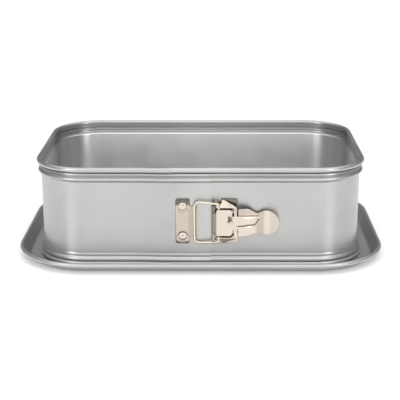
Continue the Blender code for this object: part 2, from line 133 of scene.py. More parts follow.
# Latch, in millimetres: x, stand and height.
HINGE_X = 11.8
HINGE_STAND = 6.6
KNUCKLE_MIDDLE = 1.2           # from the pin's axis to the middle of the rolled sheet
PIVOT_X = 16.2                 # where the wire turns in through the lever's wings
PIVOT_STAND = 5.8
LOOP_X = -4.4                  # the wire's run that the catch lip holds
LOOP_STAND = 3.9
PLATE_TOP = 19.8               # half the height of the catch plate and of the bracket
CATCH_SECTION_START = -21.1
CATCH_LEFT = -20.5
CATCH_RIGHT = -8.4
CATCH_STAND = 1.95
CATCH_BEND = 1.0
CATCH_LIP_X = -2.2
CATCH_BLANK = 20.2             # length of the catch plate's section that the blank covers
CATCH_RISE = 1.3
CATCH_SLOPE_START = 14.4
CATCH_SLOPE = 5.4
CATCH_RIVET_X = -14.5
CATCH_RIVET_HEIGHT = 13.4
DISH_DEPTH = 0.8               # dish pressed into the raised middle round each rivet
DISH_RADIUS = 3.4
DISH_SLOPE = 2.4
BRACKET_LEFT = 12.4
BRACKET_RIGHT = 32.7
BRACKET_STAND = 0.7
BRACKET_BEND = 1.2
KNUCKLE_TOP = 15.2             # the bracket's two knuckles, either side of the lever's own
KNUCKLE_FOOT = 9.4
LEVER_KNUCKLE = 8.8
SPINE_HALF = 5.4               # strip between the lever's two slots
WING_FOLD = 13.4               # height of the line where the lever's wings fold back
WING_FOLD_RADIUS = 1.3
WING_FOLD_ANGLE = math.radians(43)
WING_TOP = 21.0
RIB_START = 30
RIB_LENGTH = 20
RIB_RISE = 0.9
DIMPLE_X = 26.0
DIMPLE_HEIGHT = 3.4
DIMPLE_RADIUS = 4.3
DIMPLE_DEPTH = 1.1
TAB_X = 57.0
TAB_HEIGHT = -0.8
TAB_RADIUS = 10.9
TAB_BEND_X = 57.2

# Finishes.
STEEL_GRAIN = 2.4 * MM
NICKEL_GRAIN = 1.6 * MM
DRAWN_STEEL = 0.7
SMUDGE = 0.06                  # strength of the faint stains
WORN_EDGE = 0.12               # how much brighter the worn edges are

# Camera, fitted to the pan's outlines.
CAMERA_PLACE = (12.8 * MM, -951.7 * MM, 321.6 * MM)
CAMERA_PITCH = 16.9
CAMERA_YAW = 0.83
CAMERA_ROLL = -0.2
CAMERA_LENS = 95.4

# Studio light: a dim surround at the horizon, rising to a bright dome, and three soft panels.
HORIZON_LIGHT = 0.28
DOME_LIGHT = 1.40
DOME_START = 0.45              # sine of the elevation at which the dome starts to brighten
DOME_FULL = 0.85
FRONT_PANEL = (0, -1.9, 1.0)
FRONT_PANEL_AIM = (0, 0, 0.1)
FRONT_PANEL_SIZE = (2.4, 1.8)
FRONT_PANEL_POWER = 12
SIDE_PANEL = (1.16, -1.24, 0.7)
SIDE_PANEL_AIM = (0, 0, 0.05)
SIDE_PANEL_SIZE = (0.5, 1.4)
SIDE_PANEL_POWER = 6
FLOOR_GLOW = 0.17              # keeps the pale floor white under the soft light
FLOOR_HALF = 9
FLOOR_GAP = 0.3 * MM


# --- meshes ---------------------------------------------------------------------------------

def add_object(name, mesh_data, sharp_angle=SHARP_ANGLE):
    """Make a closed bmesh an object, with its faces pointing out and smooth shading."""
    bmesh.ops.recalc_face_normals(mesh_data, faces=mesh_data.faces)
    mesh = bpy.data.meshes.new(name)
    mesh_data.to_mesh(mesh)
    mesh_data.free()
    made = bpy.data.objects.new(name, mesh)
    bpy.context.collection.objects.link(made)
    shade(made, sharp_angle)
    return made


def shade(item, sharp_angle=SHARP_ANGLE):
    item.data.shade_smooth()
    item.data.set_sharp_from_angle(angle=math.radians(sharp_angle))


def latch_point(x, stand, height):
    return Vector((x, -HALF_DEPTH - stand, LATCH_Z + height))


def latch_point_mm(x, stand, height):
    return latch_point(x * MM, stand * MM, height * MM)


def cut(item, cutters, sharp_angle=SHARP_ANGLE):
    """Cut closed shapes out of an object for good."""
    for cutter in cutters:
        step = item.modifiers.new("cut", "BOOLEAN")
        step.operation = "DIFFERENCE"
        step.solver = "EXACT"
        step.object = cutter
    bpy.context.view_layer.update()
    graph = bpy.context.evaluated_depsgraph_get()
    finished = bpy.data.meshes.new_from_object(item.evaluated_get(graph))
    item.modifiers.clear()
    item.data = finished
    for cutter in cutters:
        bpy.data.objects.remove(cutter, do_unlink=True)
    shade(item, sharp_angle)


def block(x_range, stand_range, height_range):
    """A box-shaped cutter."""
    mesh = bmesh.new()
    corners = []
    for x in x_range:
        for stand in stand_range:
            for height in height_range:
                corners.append(mesh.verts.new(latch_point(x, stand, height)))
    bmesh.ops.convex_hull(mesh, input=corners)
    return add_object("cutter", mesh)


def drill_bit(start, end, radius):
    """A round cutter between two points."""
    mesh = bmesh.new()
    bmesh.ops.create_cone(
        mesh, cap_ends=True, segments=40, radius1=radius, radius2=radius,
        depth=(end - start).length)
    turn = (end - start).to_track_quat("Z", "Y").to_matrix().to_4x4()
    bmesh.ops.transform(mesh, verts=mesh.verts, matrix=Matrix.Translation((start + end) / 2) @ turn)
    return add_object("drill", mesh)


def arc(centre, radius, start, end, steps):
    points = []
    for step in range(steps + 1):
        angle = math.radians(start + (end - start) * step / steps)
        points.append((centre[0] + radius * math.cos(angle), centre[1] + radius * math.sin(angle)))
    return points


def rounded_outline(corners):
    """A closed outline of (x, y, radius) corners, each rounded to its radius."""
    outline = []
    count = len(corners)
    for index, (x, y, radius) in enumerate(corners):
        here = Vector((x, y))
        if not radius:
            outline.append(here)
            continue
        before = Vector(corners[index - 1][:2]) - here
        after = Vector(corners[(index + 1) % count][:2]) - here
        inward, onward = before.normalized(), after.normalized()
        half = inward.angle(onward) / 2
        room = ROUNDING_SHARE * min(before.length, after.length)
        reach = min(radius / math.tan(half), room)
        fitted = reach * math.tan(half)
        centre = here + (inward + onward).normalized() * (fitted / math.sin(half))
        first = (here + inward * reach - centre).normalized()
        last = (here + onward * reach - centre).normalized()
        turn = first.angle_signed(last)
        for step in range(ROUNDING_STEPS + 1):
            spoke = first.copy()
            spoke.rotate(Matrix.Rotation(-turn * step / ROUNDING_STEPS, 2))
            outline.append(centre + spoke * fitted)
    return outline


def ramp(value, start, length):
    """0 up to start, 1 from start + length on, and a soft change between."""
    part = min(max((value - start) / length, 0.0), 1.0)
    return part * part * (3 - 2 * part)


def ridge(distance, width):
    """A soft ridge: 1 in its middle, fading out past its width."""
    return math.exp(-(distance / width) ** 2)


# --- swept sheets: band and tray ------------------------------------------------------------

def wall_bump(z):
    """How far the wall is pressed out at a height."""
    bump = 0
    for middle, half, rise in (
            (LOWER_BEAD_Z, BEAD_HALF_HEIGHT, LOWER_BEAD_RISE),
            (LOWER_STEP_Z, STEP_HALF_HEIGHT, LOWER_STEP_RISE),
            (UPPER_BEAD_Z, BEAD_HALF_HEIGHT, UPPER_BEAD_RISE),
            (UPPER_STEP_Z, STEP_HALF_HEIGHT, UPPER_STEP_RISE)):
        part = min(abs(z - middle) / half, 1)
        bump += rise * 0.5 * (1 + math.cos(math.pi * part))
    return bump


def pressed_wall(wall, low, high):
    """A stretch of the wall's section with its beads."""
    points = []
    for step in range(BEAD_STEPS + 1):
        z = low + (high - low) * step / BEAD_STEPS
        points.append((wall + wall_bump(z), z))
    return points


def band_profile():
    """Middle line of the band's sheet, from the end of the foot curl to the end of the rim."""
    wall = -BAND_SHEET / 2
    foot = FOOT_CURL_RADIUS - BAND_SHEET / 2
    rim = RIM_CURL_RADIUS - BAND_SHEET / 2
    line = arc((wall + foot, BAND_FOOT_Z + FOOT_CURL_RADIUS), foot, 180 + CURL_TURN, 180, 20)
    line += pressed_wall(
        wall, LOWER_BEAD_Z - BEAD_HALF_HEIGHT, LOWER_STEP_Z + STEP_HALF_HEIGHT)
    line += pressed_wall(
        wall, UPPER_BEAD_Z - BEAD_HALF_HEIGHT, UPPER_STEP_Z + STEP_HALF_HEIGHT)
    line += arc((wall + rim, RIM_CURL_Z), rim, 180, 180 - CURL_TURN, 24)
    return line


def tray_profile():
    """Middle line of the tray's sheet, from the edge of the platform out to the rim."""
    half = TRAY_SHEET / 2
    top = PLATFORM_TOP_Z - half
    bend = PLATFORM_BEND
    line = [(PLATFORM_EDGE - PLATFORM_RING, top)]
    line += arc((PLATFORM_EDGE - bend, top - bend), bend, 90, 0, 8)
    line += arc((PLATFORM_EDGE + bend, half + bend), bend, 180, 270, 8)
    line += arc((FLARE_OFFSET, half + FLARE_RADIUS), FLARE_RADIUS, 270, 310, 8)
    rim = TRAY_RIM_RADIUS - half
    line += arc((TRAY_RIM_OFFSET, TRAY_RIM_Z), rim, 150, -90, 20)
    return line


def two_faces(line, thickness):
    """The two faces of a sheet, either side of its middle line."""
    left, right = [], []
    last = len(line) - 1
    for index, (x, y) in enumerate(line):
        before = line[max(index - 1, 0)]
        after = line[min(index + 1, last)]
        dx, dy = after[0] - before[0], after[1] - before[1]
        length = math.hypot(dx, dy)
        nx, ny = -dy / length * thickness / 2, dx / length * thickness / 2
        left.append((x + nx, y + ny))
        right.append((x - nx, y - ny))
    return left, right


def corner_stations(side_x, side_y, start, end):
    """Places round a corner: point on the wall's outer face, and outward direction."""
    centre = Vector((side_x * (HALF_WIDTH - CORNER_RADIUS), side_y * (HALF_DEPTH - CORNER_RADIUS)))
    stations = []
    for step in range(CORNER_STEPS + 1):
        angle = math.radians(start + (end - start) * step / CORNER_STEPS)
        out = Vector((math.cos(angle), math.sin(angle)))
        stations.append((centre + out * CORNER_RADIUS, out))
    return stations


def sweep(stations, faces, closed=False, lift=None):
    """Carry a sheet's two faces along a row of stations."""
    left, right = faces
    mesh = bmesh.new()
    rings = []
    for point, out in stations:
        extra = lift(point) if lift else 0
        ring = []
        for offset, z in left + right[::-1]:
            place = point + out * (offset + extra)
            ring.append(mesh.verts.new((place.x, place.y, z)))
        rings.append(ring)
    count = len(rings[0])
    pairs = list(zip(rings, rings[1:]))
    if closed:
        pairs.append((rings[-1], rings[0]))
    for first, second in pairs:
        for index in range(count - 1 if closed else count):
            after = (index + 1) % count
            mesh.faces.new((first[index], first[after], second[after], second[index]))
    if closed:
        mesh.faces.new([ring[0] for ring in rings])
        mesh.faces.new([ring[-1] for ring in rings])
    else:
        for ring in (rings[0], rings[-1]):
            for index in range(len(left) - 1):
                far = count - 1 - index
                mesh.faces.new((ring[index], ring[index + 1], ring[far - 1], ring[far]))
    return mesh


def joggle(point):
    """How far the outer end of the band steps out, to lie over the inner end."""
    return JOGGLE_RISE * ramp(point.x, JOGGLE_X - JOGGLE_LENGTH, JOGGLE_LENGTH)


def mark_lit_inside(item, lit_inside):
    """Give the wall's inner faces, between the beads, a lighter copy of the steel: painted light that
    brightens the inside.
    """
    item.data.materials.append(lit_inside)
    for face in item.data.polygons:
        middle = face.center
        x = max(min(middle.x, HALF_WIDTH - CORNER_RADIUS), CORNER_RADIUS - HALF_WIDTH)
        y = max(min(middle.y, HALF_DEPTH - CORNER_RADIUS), CORNER_RADIUS - HALF_DEPTH)
        outward = Vector((middle.x - x, middle.y - y, 0))
        if LOWER_STEP_Z < middle.z < UPPER_BEAD_Z and face.normal.dot(outward) < 0:
            face.material_index = 1


def front_end_x(side):
    """Where the front wall's stations lie, from the corner to the band's end."""
    if side == 1:
        return [INNER_END_X]
    places = []
    for step in range(JOGGLE_STEPS + 1):
        places.append(JOGGLE_X - JOGGLE_LENGTH * (1 - step / JOGGLE_STEPS))
    return places + [OUTER_END_X]


def build_band(surface, lit_inside):
    """The springy band in four stretches, each swept round one corner."""
    faces = two_faces(band_profile(), BAND_SHEET)
    for side, word in ((1, "right"), (-1, "left")):
        sideways = 0 if side == 1 else 180
        middle = (Vector((side * HALF_WIDTH, 0)), Vector((side, 0)))
        rear = [(Vector((0, HALF_DEPTH)), Vector((0, 1)))]
        rear += corner_stations(side, 1, 90, sideways)
        rear.append(middle)
        front = [middle]
        front += corner_stations(side, -1, sideways, sideways - side * 90)
        front += [(Vector((x, -HALF_DEPTH)), Vector((0, -1))) for x in front_end_x(side)]

        rear_piece = add_object(f"band_rear_{word}_sheet", sweep(rear, faces))
        front_piece = add_object(
            f"band_front_{word}_sheet", sweep(front, faces, lift=joggle if side == -1 else None))
        if side == -1:
            trim_outer_end(front_piece)
        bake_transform(rear_piece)
        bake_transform(front_piece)
        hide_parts(f"band_front_{word}", f"band_side_{word}")
        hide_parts("band_back")
        for piece in (rear_piece, front_piece):
            piece.data.materials.append(surface)
            mark_lit_inside(piece, lit_inside)


def trim_outer_end(item):
    """Cut the curls off the outer end where it lies over the inner end."""
    x_range = (JOGGLE_X, OUTER_END_X + 5 * MM)
    reach = 10 * MM
    top = OUTER_END_TOP_Z - LATCH_Z
    foot = OUTER_END_FOOT_Z - LATCH_Z
    cut(item, (
        block(x_range, (-reach, reach), (top, top + reach)),
        block(x_range, (-reach, reach), (foot - reach, foot)),
    ))


def build_tray(surface):
    """The base tray round the platform, from drip gutter to rolled rim."""
    stations = []
    for side_x, side_y, start in ((1, 1, 0), (-1, 1, 90), (-1, -1, 180), (1, -1, 270)):
        stations += corner_stations(side_x, side_y, start, start + 90)
    faces = two_faces(tray_profile(), TRAY_SHEET)
    tray = add_object("tray_sheet", sweep(stations, faces, closed=True))
    tray.data.materials.append(surface)
    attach(tray, "base")
    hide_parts("base_tray")


# --- stamped sheets: the latch's plates -----------------------------------------------------

def flat_blank(outline, cell):
    """A flat mesh of an outline, cut into fine cells."""
    blank = bmesh.new()
    blank.faces.new([blank.verts.new((point.x, point.y, 0)) for point in outline])
    for axis in (0, 1):
        low = min(point[axis] for point in outline)
        high = max(point[axis] for point in outline)
        count = int((high - low) / cell)
        normal = Vector((1, 0, 0)) if axis == 0 else Vector((0, 1, 0))
        for step in range(1, count):
            bmesh.ops.bisect_plane(
                blank, geom=blank.verts[:] + blank.edges[:] + blank.faces[:],
                plane_co=normal * (low + (high - low) * step / count), plane_no=normal, dist=1e-4)
    edge = [vert for vert in blank.verts if vert.is_boundary]
    near = bmesh.ops.find_doubles(blank, verts=blank.verts, keep_verts=edge, dist=cell * 0.35)
    bmesh.ops.weld_verts(blank, targetmap=near["targetmap"])
    return blank


def edge_inward(vert):
    """Direction from a boundary vertex into its blank."""
    inward = Vector((0, 0, 0))
    for edge in vert.link_edges:
        if edge.is_boundary:
            along = (edge.other_vert(vert).co - vert.co).normalized()
            side = Vector((-along.y, along.x, 0))
            middle = edge.link_faces[0].calc_center_median() - (vert.co + edge.other_vert(vert).co) / 2
            inward += side if side.dot(middle) > 0 else -side
    return inward.normalized()


def stamped(name, outline, place, tone_and_painted_shade, surface, cell=0.6):
    """A sheet-metal piece: an outline in millimetres, carried to its shape by place(u, height).

    The shade function (u, height) says how much the colour is darkened there, from 0 to 1: painted
    shade and painted dark reflections, with a little duller tone.
    """
    blank = flat_blank(outline, cell)
    half = LATCH_SHEET / 2
    nudge = 0.02

    def point(u, height, offset):
        here = place(u, height)
        across = place(u + nudge, height) - here
        upwards = place(u, height + nudge) - here
        return here + across.cross(upwards).normalized() * offset

    mesh = bmesh.new()
    # Per-vertex darkening: painted shade and painted dark reflections, with a little duller tone; the
    # material multiplies the colour by it.
    tone_and_shade_layer = mesh.verts.layers.float.new("tone_and_painted_shade")
    layers = {}
    for vert in blank.verts:
        u, height = vert.co.x, vert.co.y
        tone_and_shade_here = tone_and_painted_shade(u, height)
        rim = ()
        if vert.is_boundary:
            rim = tuple(mesh.verts.new(point(u, height, side * (half - SHEET_EDGE)))
                        for side in (1, -1))
            inner = vert.co + edge_inward(vert) * (SHEET_EDGE / MM)
            u, height = inner.x, inner.y
        front = mesh.verts.new(point(u, height, half))
        rear = mesh.verts.new(point(u, height, -half))
        layers[vert] = (front, *rim, rear)
        for made_vert in layers[vert]:
            made_vert[tone_and_shade_layer] = tone_and_shade_here
    for face in blank.faces:
        mesh.faces.new([layers[vert][0] for vert in face.verts])
        mesh.faces.new([layers[vert][-1] for vert in reversed(face.verts)])
    for edge in blank.edges:
        if edge.is_boundary:
            first, second = (layers[vert] for vert in edge.verts)
            for a, b, c, d in zip(first, second, second[1:], first[1:]):
                mesh.faces.new((a, b, c, d))
    blank.free()
    made = add_object(name, mesh, STAMPED_SHARP_ANGLE)
    made.data.materials.append(surface)
    return made


def section(points, zero_index, zero_u):
    """A sheet's section as a function of the distance u along it: u is zero_u at one point."""
    x, stand = (np.array(values) for values in zip(*points))
    lengths = np.concatenate([[0], np.cumsum(np.hypot(np.diff(x), np.diff(stand)))])
    lengths += zero_u - lengths[zero_index]

    def at(u):
        if u >= lengths[-1]:
            return x[-1] + (u - lengths[-1]), stand[-1]
        return float(np.interp(u, lengths, x)), float(np.interp(u, lengths, stand))

    at.start = float(lengths[0])
    return at


def flipped(half):
    """The mirror image of half an outline, on the other side of the latch's middle."""
    return [(x, -height, radius) for x, height, radius in reversed(half)]


def catch_relief(x, height):
    """The catch plate's raised middle, its sloping ends and a dish round each rivet."""
    ends = 1 - min(max(abs(height) - CATCH_SLOPE_START, 0) / CATCH_SLOPE, 1)
    left = ramp(x, -21.0, 1.2)
    right = 1 - ramp(x, -10.8, 2.6)
    raised = CATCH_RISE * ends * left * right
    for rivet in (CATCH_RIVET_HEIGHT, -CATCH_RIVET_HEIGHT):
        reach = math.hypot(x - CATCH_RIVET_X, height - rivet)
        raised -= DISH_DEPTH * (1 - ramp(reach, DISH_RADIUS, DISH_SLOPE)) * min(raised / 0.9, 1)
    return raised


def catch_tone_and_painted_shade(x, height):
    """Painted shade: darker ends and right side where the plate turns away, and a painted dark ring
    round the lower rivet's dish; a little duller tone over the whole face, with the lip beyond the
    bend left undarkened.
    """
    arm = 1 - ramp(x, -4.6, 1.2)
    face = 0.2 * arm
    right = 0.34 * ramp(x, -12.5, 5) * arm
    upper_end = 0.72 * ramp(height, 13.8, 1.2)
    lower_end = 0.5 * ramp(-height, 16.6, 1.2)
    reach = math.hypot(x - CATCH_RIVET_X, height + CATCH_RIVET_HEIGHT)
    ring = 0.62 * ridge(reach - 4.5, 0.7) * ramp(height, -14.5, 2)
    return max(face, right, upper_end, lower_end, ring)


def build_catch(surface):
    """The catch plate, with a lip on its right that holds the wire."""
    bend_x = CATCH_LIP_X - CATCH_BEND
    line = [(CATCH_SECTION_START, CATCH_STAND), (bend_x, CATCH_STAND)]
    line += arc((bend_x, CATCH_STAND + CATCH_BEND), CATCH_BEND, -90, 0, 8)[1:]
    line.append((CATCH_LIP_X, 3.2))
    line += arc((CATCH_LIP_X + 0.3, 3.6), 0.5, 180, 120, 3)
    at = section(line, 0, CATCH_SECTION_START)
    upper = [
        (CATCH_LEFT, PLATE_TOP, 2.2), (CATCH_RIGHT, PLATE_TOP, 1.6), (CATCH_RIGHT, 13.6, 0.8),
        (at.start + CATCH_BLANK, 13.0, 1.2),
    ]

    def place(u, height):
        x, stand = at(u)
        return latch_point_mm(x, stand + catch_relief(u, height), height)

    plate = stamped(
        "catch_plate_detail", rounded_outline(upper + flipped(upper)), place, catch_tone_and_painted_shade, surface)
    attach(plate, "front_left")
    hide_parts("catch_plate")


def bracket_tone_and_painted_shade(x, height):
    """A little duller tone over the face, and painted shade where the sheet bends to the knuckles and
    over the upper end.
    """
    face = 0.16
    web = 0.42 * (1 - ramp(x, 9, 3))
    upper_end = 0.70 * ramp(height, 6, 4)
    return max(face, web, upper_end)


def build_bracket(surface):
    """Plate with two knuckles rolled round the hinge pin, and its upper left corner cut away."""
    web = HINGE_X - KNUCKLE_MIDDLE
    line = [(BRACKET_RIGHT, BRACKET_STAND)]
    line += arc((web + BRACKET_BEND, BRACKET_STAND + BRACKET_BEND), BRACKET_BEND, 270, 180, 6)
    line += arc((HINGE_X, HINGE_STAND), KNUCKLE_MIDDLE, 180, -110, 20)
    line.reverse()
    at = section(line, len(line) - 1, BRACKET_RIGHT)
    knuckle = [
        (BRACKET_LEFT, KNUCKLE_FOOT, 0), (at.start, KNUCKLE_FOOT, 0.3), (at.start, KNUCKLE_TOP, 0.3),
    ]
    right_corner = [(BRACKET_RIGHT, PLATE_TOP, 2.4)]
    cut_corner = [(16.4, KNUCKLE_TOP, 1.4), (18.6, PLATE_TOP, 1.0)]
    square_corner = [(BRACKET_LEFT, KNUCKLE_TOP, 0.6), (BRACKET_LEFT, PLATE_TOP, 1.2)]
    outline = knuckle + cut_corner + right_corner
    outline += flipped(knuckle + square_corner + right_corner)

    def place(u, height):
        x, stand = at(u)
        return latch_point_mm(x, stand, height)

    plate = stamped(
        "hinge_bracket_detail", rounded_outline(outline), place, bracket_tone_and_painted_shade, surface)
    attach(plate, "front_right")
    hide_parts("hinge_bracket")


def rib_edges(x):
    """Heights of the rib's upper and lower edge; they meet at its pointed tip."""
    along = (x - RIB_START) / RIB_LENGTH
    upper = 5.6 - 1.4 * along
    lower = -2.6 + 0.9 * along + 4.6 * ramp(x, 46.5, 4.5)
    return upper, lower


def lever_relief(x, height):
    """The lever's pressed shapes: dimple, rib with a groove along its edges, and thumb tab."""
    reach = math.hypot(x - DIMPLE_X, height - DIMPLE_HEIGHT)
    dimple = -DIMPLE_DEPTH * max(1 - (reach / DIMPLE_RADIUS) ** 2, 0)
    upper_edge, lower_edge = rib_edges(x)
    rib = RIB_RISE * ramp(upper_edge - height, -0.5, 1.0) * ramp(height - lower_edge, -0.5, 1.0)
    for edge, depth in ((upper_edge + 0.9, 0.55), (lower_edge - 0.9, 1.2)):
        rib -= depth * ridge(height - edge, 0.62)
    rib *= ramp(x, 30.5, 2.2) * (1 - ramp(x, 49.5, 2.5))
    slope = -3.8 * ramp(x, 33, 17)
    crown = -0.25 * ramp(abs(height), 5, 8) * ramp(x, 33, 3)
    bend = x - TAB_BEND_X
    tab = 0.20 * (bend + math.hypot(bend, 1.8)) * ramp(x, 45, 8)
    return dimple + rib + slope + crown + tab


def lever_painted_shade(x, height):
    """Painted shade on the knuckle, wings, upper shoulder, neck, tab and dimple, and painted shadow
    lines in the grooves along the rib.
    """
    if x < 24:
        return 0.60 * (1 - ramp(x, 13.6, 1.0))
    wing = 0.16 * ramp(abs(height), 13.6, 1)
    shoulder = 0
    if x > RIB_START:
        shoulder = 0.22 * ramp(height, 6, 2) * (1 - ramp(x, 50, 4))
    neck = 0.26 * ramp(x, 46, 4) * (1 - ramp(x, 53.5, 2.5))
    tab = 0.14 * ramp(x, 58.5, 3)
    reach = math.hypot((x - 24.4) / 1.2, height - 3.0)
    dimple = 0.75 * (1 - ramp(reach, 2.0, 1.6))
    upper_edge, lower_edge = rib_edges(x)
    upper_groove = 0.68 * ridge(height - upper_edge - 0.7, 0.55)
    lower_groove = 0.75 * ridge(height - lower_edge + 0.7, 0.6)
    grooves = max(upper_groove, lower_groove) * ramp(x, 31, 2) * (1 - ramp(x, 50, 2.5))
    return max(wing, shoulder, neck, tab, dimple, grooves)


def fold_back(stand, height):
    """Fold the wings back towards the wall."""
    past = abs(height) - WING_FOLD
    if past <= 0:
        return stand, height
    turned = min(past / WING_FOLD_RADIUS, WING_FOLD_ANGLE)
    rest = max(past - WING_FOLD_RADIUS * WING_FOLD_ANGLE, 0)
    folded = WING_FOLD + WING_FOLD_RADIUS * math.sin(turned) + rest * math.cos(WING_FOLD_ANGLE)
    back = WING_FOLD_RADIUS * (1 - math.cos(turned)) + rest * math.sin(WING_FOLD_ANGLE)
    return stand - back, math.copysign(folded, height)


def lever_outline(knuckle_end):
    """Flat blank of the lever: knuckle, tongue, arms, wings, handle and thumb tab."""
    tongue = [
        (knuckle_end, LEVER_KNUCKLE, 0.3), (14.2, LEVER_KNUCKLE, 0.3), (14.2, 11.6, 0.9),
        (27.7, 11.6, 2.6), (27.7, SPINE_HALF, 0.7),
    ]
    arm = [(29.3, SPINE_HALF, 0.7), (29.3, 13.2, 1.4), (14.0, 13.2, 1.0)]
    wing = [
        (14.0, 16.8, 1.0), (18.6, 17.2, 0.6), (18.8, WING_TOP, 0.7), (20.6, WING_TOP, 1.0),
        (31.8, 13.6, 2.2),
    ]
    handle = [(31.6, SPINE_HALF, 0.5), (32.7, SPINE_HALF, 0.5), (32.9, 12.4, 1.2), (41, 12.2, 8)]
    upper = tongue + arm + wing + handle
    upper_neck = [(49.2, 7.4, 4)]
    lower_neck = [(49.8, -9.9, 5)]
    tab = [(x, height, 0) for x, height in arc((TAB_X, TAB_HEIGHT), TAB_RADIUS, 126, -120, 28)]
    return upper + upper_neck + tab + lower_neck + flipped(upper)


def build_lever(surface):
    """The stamped lever, its wings drilled for the wire's ends."""
    line = arc((HINGE_X, HINGE_STAND), KNUCKLE_MIDDLE, -30, -325, 24)
    line += [(13.4, 7.0), (14.0, 6.86), (14.8, 6.8)]
    at = section(line, len(line) - 1, line[-1][0])

    def place(u, height):
        x, stand = at(u)
        stand, height = fold_back(stand + lever_relief(u, height), height)
        return latch_point_mm(x, stand, height)

    outline = rounded_outline(lever_outline(at.start))
    lever = stamped("latch_lever_detail", outline, place, lever_painted_shade, surface, cell=0.5)
    above, below = (latch_point_mm(PIVOT_X, PIVOT_STAND, side * (WING_TOP + 1)) for side in (1, -1))
    cut(lever, (drill_bit(above, below, WIRE_RADIUS + WIRE_PLAY),), STAMPED_SHARP_ANGLE)
    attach(lever, "lever")
    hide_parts("latch_lever")


# --- wire and rivets ------------------------------------------------------------------------

def rounded_path(points, radii):
    """A wire's centre line: straight runs, with each bend rounded to its radius."""
    path = [points[0]]
    for before, corner, after, radius in zip(points, points[1:], points[2:], radii):
        inward = (before - corner).normalized()
        onward = (after - corner).normalized()
        half = inward.angle(onward) / 2
        reach = radius / math.tan(half)
        centre = corner + (inward + onward).normalized() * (radius / math.sin(half))
        first = (corner + inward * reach - centre).normalized()
        last = (corner + onward * reach - centre).normalized()
        for step in range(WIRE_BEND_STEPS + 1):
            path.append(centre + first.slerp(last, step / WIRE_BEND_STEPS) * radius)
    path.append(points[-1])
    return path


def bail_path():
    """Centre line of the wire: a turned-in end, the loop and the other end, slightly lopsided."""
    points = [latch_point_mm(PIVOT_X, PIVOT_STAND, height) for height in (11.9, 16.2)]
    points += [latch_point_mm(LOOP_X, LOOP_STAND, height) for height in (17.9, -18.7)]
    points += [latch_point_mm(PIVOT_X, PIVOT_STAND, height) for height in (-17.6, -12.4)]
    return rounded_path(points, (WIRE_END_BEND, WIRE_LOOP_BEND, WIRE_LOOP_BEND, WIRE_END_BEND))


def build_bail(surface):
    """The wire loop between the lever's wings and the catch lip."""
    path = bail_path()
    curve = bpy.data.curves.new("wire_bail_detail", "CURVE")
    curve.dimensions = "3D"
    curve.bevel_depth = WIRE_RADIUS
    curve.bevel_resolution = 8
    curve.use_fill_caps = True
    spline = curve.splines.new("POLY")
    spline.points.add(len(path) - 1)
    for knot, point in zip(spline.points, path):
        knot.co = (*point, 1)
    spline.use_smooth = True
    bail = bpy.data.objects.new("wire_bail_detail", curve)
    curve.materials.append(surface)
    bpy.context.collection.objects.link(bail)
    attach(bail, "bail")
    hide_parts("wire_bail")


def rivet_profile():
    """Half section of a rivet, from the foot of its shank to the middle of its head."""
    profile = [
        (0, RIVET_FOOT), (RIVET_SHANK, RIVET_FOOT), (RIVET_SHANK, RIVET_SEAT),
        (RIVET_HEAD - 0.1 * MM, RIVET_SEAT),
    ]
    for step in range(RIVET_STEPS + 1):
        angle = math.radians(8 + 70 * step / RIVET_STEPS)
        profile.append((RIVET_HEAD * math.cos(angle), RIVET_SEAT + RIVET_DOME * math.sin(angle)))
    profile.append((0, profile[-1][1] + 0.05 * MM))
    return profile


def build_catch_rivets(surface):
    """Two rivets with low domed heads, through the catch plate."""
    upright = Matrix.Rotation(math.radians(90), 4, "X")
    for word, height in (("upper", CATCH_RIVET_HEIGHT), ("lower", -CATCH_RIVET_HEIGHT)):
        mesh = bmesh.new()
        row = [mesh.verts.new((radius, 0, rise)) for radius, rise in rivet_profile()]
        edges = [mesh.edges.new(pair) for pair in zip(row, row[1:])]
        bmesh.ops.spin(
            mesh, geom=row + edges, cent=(0, 0, 0), axis=(0, 0, 1), angle=math.tau, steps=48,
            use_merge=True)
        bmesh.ops.remove_doubles(mesh, verts=mesh.verts, dist=1e-6)
        seat = Matrix.Translation(latch_point_mm(CATCH_RIVET_X, 0, height))
        bmesh.ops.transform(mesh, verts=mesh.verts, matrix=seat @ upright)
        rivet = add_object(f"catch_rivet_{word}_detail", mesh)
        rivet.data.materials.append(surface)
        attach(rivet, "front_left")
        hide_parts(f"catch_rivet_{word}")


# --- finishes -------------------------------------------------------------------------------

